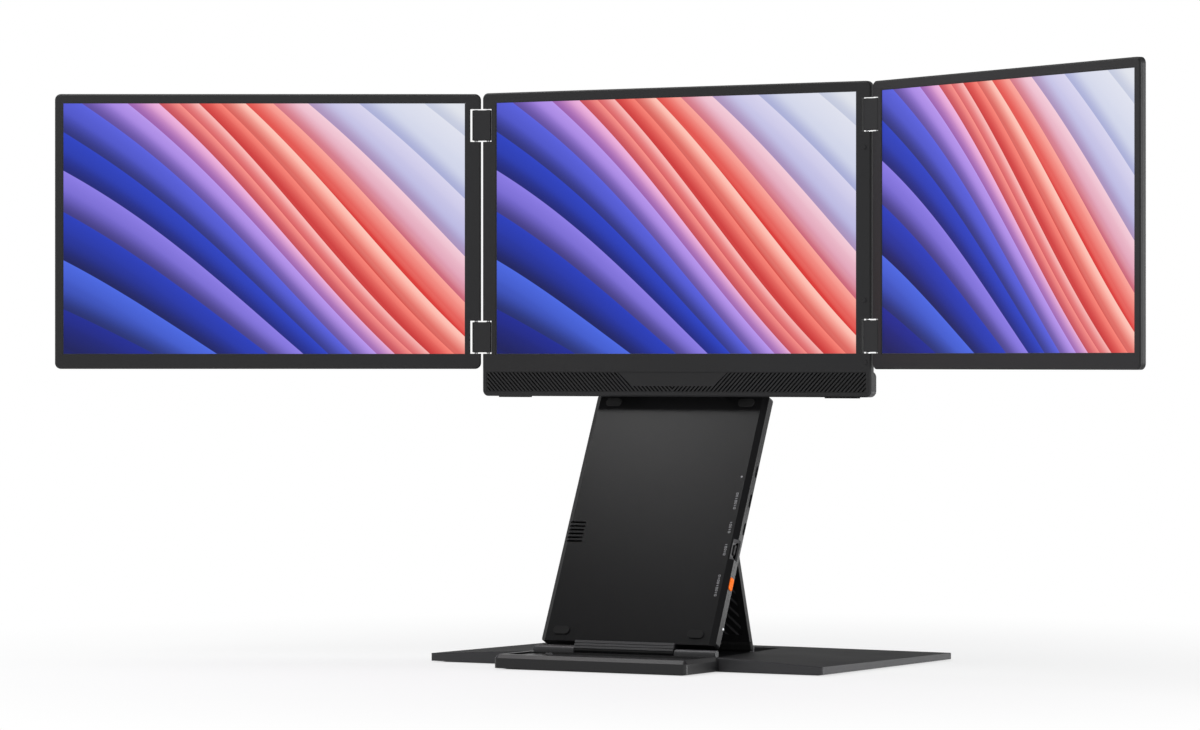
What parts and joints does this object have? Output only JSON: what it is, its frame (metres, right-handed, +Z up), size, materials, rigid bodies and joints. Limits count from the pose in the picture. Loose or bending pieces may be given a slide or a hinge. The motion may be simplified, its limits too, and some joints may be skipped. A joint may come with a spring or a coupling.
{
  "type": "triple screen laptop extender",
  "caption": "Portable display stand with a row of hinged flat screens on an easel plate, propped by a kickstand on a low weighted base.",
  "frame": {"origin": "on the desk under the middle of the centre screen's front face, at the underside of the middle rubber pad", "axes": "+X to the viewer's right along the row of screens, -Y towards the viewer, +Z up"},
  "size_m": [0.8852, 0.2955, 0.422],
  "materials": {
    "bezel_plastic": "fine matt dark grey moulding",
    "rear_shell": "dark grey anodised",
    "screen_glass": "semi-gloss display surface",
    "light_guide": "clear sheet stack",
    "circuit_board": "green solder mask",
    "bright_steel": "ground steel",
    "hinge_shell": "matt dark grey",
    "grille_plastic": "matt black grille",
    "speaker_case": "black",
    "black_rubber": "matt rubber",
    "plate_shell": "matt dark grey",
    "spreader_metal": "bare aluminium",
    "port_metal": "bright drawn metal",
    "orange_plastic": "orange insert",
    "lamp_plastic": "white lamp window",
    "button_plastic": "dark button",
    "knuckle_metal": "grey painted",
    "dark_metal": "black painted",
    "leg_metal": "black anodised",
    "base_shell": "matt dark grey",
    "base_steel": "blackened steel sheet"
  },
  "bodies": {
    "base": {"base_body": "base_shell", "base_sheet": "base_steel", "base_ballast": "base_steel", "base_screws": "bright_steel", "hinge_block": "base_shell", "base_knuckles": "knuckle_metal", "hinge_pin": "knuckle_metal", "foot_rest": "base_shell", "base_pads": "black_rubber", "stop_bump": "black_rubber"},
    "plate": {"plate_front_shell": "plate_shell", "plate_back_shell": "plate_shell", "main_board": "circuit_board", "heat_spreader": "spreader_metal", "port_shells": "port_metal", "orange_insert": "orange_plastic", "status_led": "lamp_plastic", "plate_bumpers": "black_rubber", "plate_screws": "bright_steel", "tilt_arms": "dark_metal", "plate_knuckle": "dark_metal", "knuckle_cover": "knuckle_metal", "kickstand_bracket": "knuckle_metal", "kickstand_pin": "bright_steel"},
    "button": {"power_button": "button_plastic"},
    "kickstand": {"kickstand_leg": "leg_metal", "kickstand_foot": "black_rubber"},
    "centre_screen": {"centre_bezel": "bezel_plastic", "centre_rear_cover": "rear_shell", "centre_lcd_glass": "screen_glass", "centre_backlight": "light_guide", "centre_driver_board": "circuit_board", "centre_hinge_brackets": "bright_steel", "centre_hinge_shafts": "bright_steel", "speaker_grille": "grille_plastic", "speakers": "speaker_case", "tilt_pins": "bright_steel", "bezel_bumpers": "black_rubber", "chin_pads": "black_rubber"},
    "left_link": {"left_hinge_blocks": "hinge_shell", "left_torque_clips": "bright_steel"},
    "left_wing": {"left_bezel": "bezel_plastic", "left_rear_cover": "rear_shell", "left_lcd_glass": "screen_glass", "left_backlight": "light_guide", "left_driver_board": "circuit_board", "left_hinge_brackets": "bright_steel", "left_hinge_shafts": "bright_steel"},
    "right_link": {"right_hinge_blocks": "hinge_shell", "right_torque_clips": "bright_steel"},
    "right_wing": {"right_bezel": "bezel_plastic", "right_rear_cover": "rear_shell", "right_lcd_glass": "screen_glass", "right_backlight": "light_guide", "right_driver_board": "circuit_board", "right_hinge_brackets": "bright_steel", "right_hinge_shafts": "bright_steel"}
  },
  "joints": [
    {"name": "plate_lean", "type": "hinge", "parent": "base", "child": "plate", "pos_m": [0, -0.0695, 0.0125], "axis": [1, 0, 0], "range_deg": [0, 25]},
    {"name": "kickstand_swing", "type": "hinge", "parent": "plate", "child": "kickstand", "pos_m": [0, -0.00512, 0.1237], "axis": [-1, 0, 0], "range_deg": [0, 42.5]},
    {"name": "power_press", "type": "slide", "parent": "plate", "child": "button", "axis": [-1, 0, 0], "range_m": [0, 0.0005], "stiffness_N_per_m": 600, "springref_m": -0.0005},
    {"name": "screen_tilt", "type": "hinge", "parent": "plate", "child": "centre_screen", "pos_m": [0, 0.006, 0.1993], "axis": [1, 0, 0], "range_deg": [-15, 90]},
    {"name": "left_inner", "type": "hinge", "parent": "centre_screen", "child": "left_link", "pos_m": [-0.15895, 0.00275, 0.3], "axis": [0, 0, 1], "range_deg": [-15, 75]},
    {"name": "left_outer", "type": "hinge", "parent": "left_link", "child": "left_wing", "pos_m": [-0.16813, 0.00029, 0.3], "axis": [0, 0, 1], "range_deg": [-15, 75]},
    {"name": "right_inner", "type": "hinge", "parent": "centre_screen", "child": "right_link", "pos_m": [0.15895, 0.00275, 0.3], "axis": [0, 0, 1], "range_deg": [-30, 105]},
    {"name": "right_outer", "type": "hinge", "parent": "right_link", "child": "right_wing", "pos_m": [0.16813, 0.00029, 0.3], "axis": [0, 0, 1], "range_deg": [-30, 105]}
  ],
  "couplings": [
    {"joint": "left_outer", "follows": "left_inner", "ratio": 1},
    {"joint": "right_outer", "follows": "right_inner", "ratio": 1}
  ]
}
